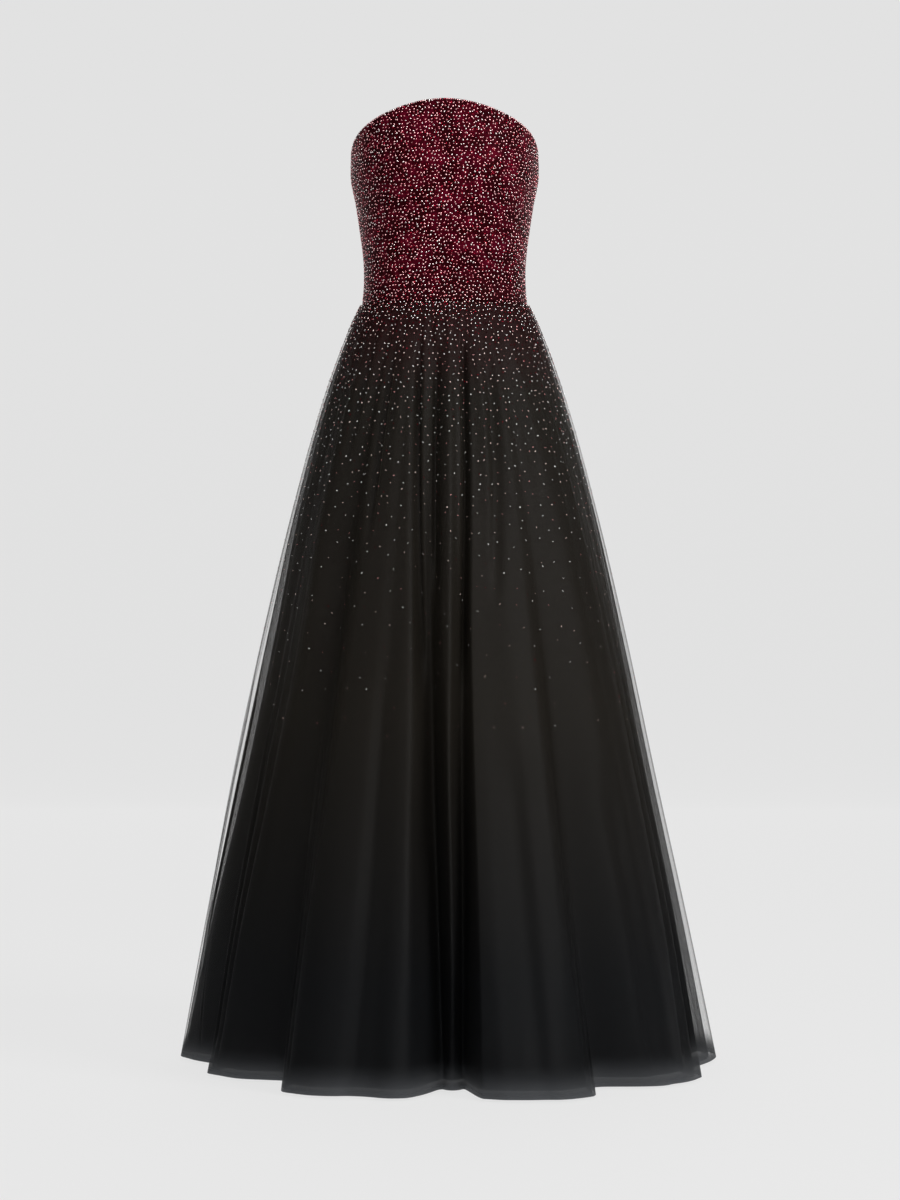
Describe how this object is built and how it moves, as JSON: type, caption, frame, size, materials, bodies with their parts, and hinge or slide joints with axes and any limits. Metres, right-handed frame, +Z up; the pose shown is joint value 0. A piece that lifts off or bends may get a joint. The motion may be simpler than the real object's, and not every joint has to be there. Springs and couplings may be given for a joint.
{
  "type": "ball gown",
  "caption": "Strapless floor-length ball gown, filled out as worn: a close beaded bodice over a gathered satin underskirt with two layers of sheer tulle, open at neck and hem.",
  "frame": {"origin": "middle of the waist seam, where the wearer's waist holds the gown up", "axes": "+Z up the wearer's body, the front of the gown faces -Y, the wearer's left side is at +X"},
  "size_m": [0.8095, 0.8017, 1.4263],
  "materials": {
    "beaded_satin": "dark red satin, thick with small faceted crystals",
    "black_satin": "black satin with a soft sheen",
    "black_tulle": "sheer black tulle",
    "zip_tape": "black woven tape",
    "zip_metal": "black enamelled metal"
  },
  "bodies": {
    "gown": {"bodice_front": "beaded_satin", "bodice_back_left": "beaded_satin", "bodice_back_right": "beaded_satin", "underskirt_front": "black_satin", "underskirt_back_left": "black_satin", "underskirt_back_right": "black_satin", "tulle_inner_front": "black_tulle", "tulle_inner_back_left": "black_tulle", "tulle_inner_back_right": "black_tulle", "tulle_outer_front": "black_tulle", "tulle_outer_back_left": "black_tulle", "tulle_outer_back_right": "black_tulle", "zip_tape": "zip_tape", "zip_slider": "zip_metal"},
    "pull": {"zip_pull": "zip_metal"}
  },
  "joints": [
    {"name": "zip_pull_hinge", "type": "hinge", "parent": "gown", "child": "pull", "pos_m": [0, 0.10083, 0.184], "axis": [1, 0, 0], "range_deg": [0, 170]}
  ]
}
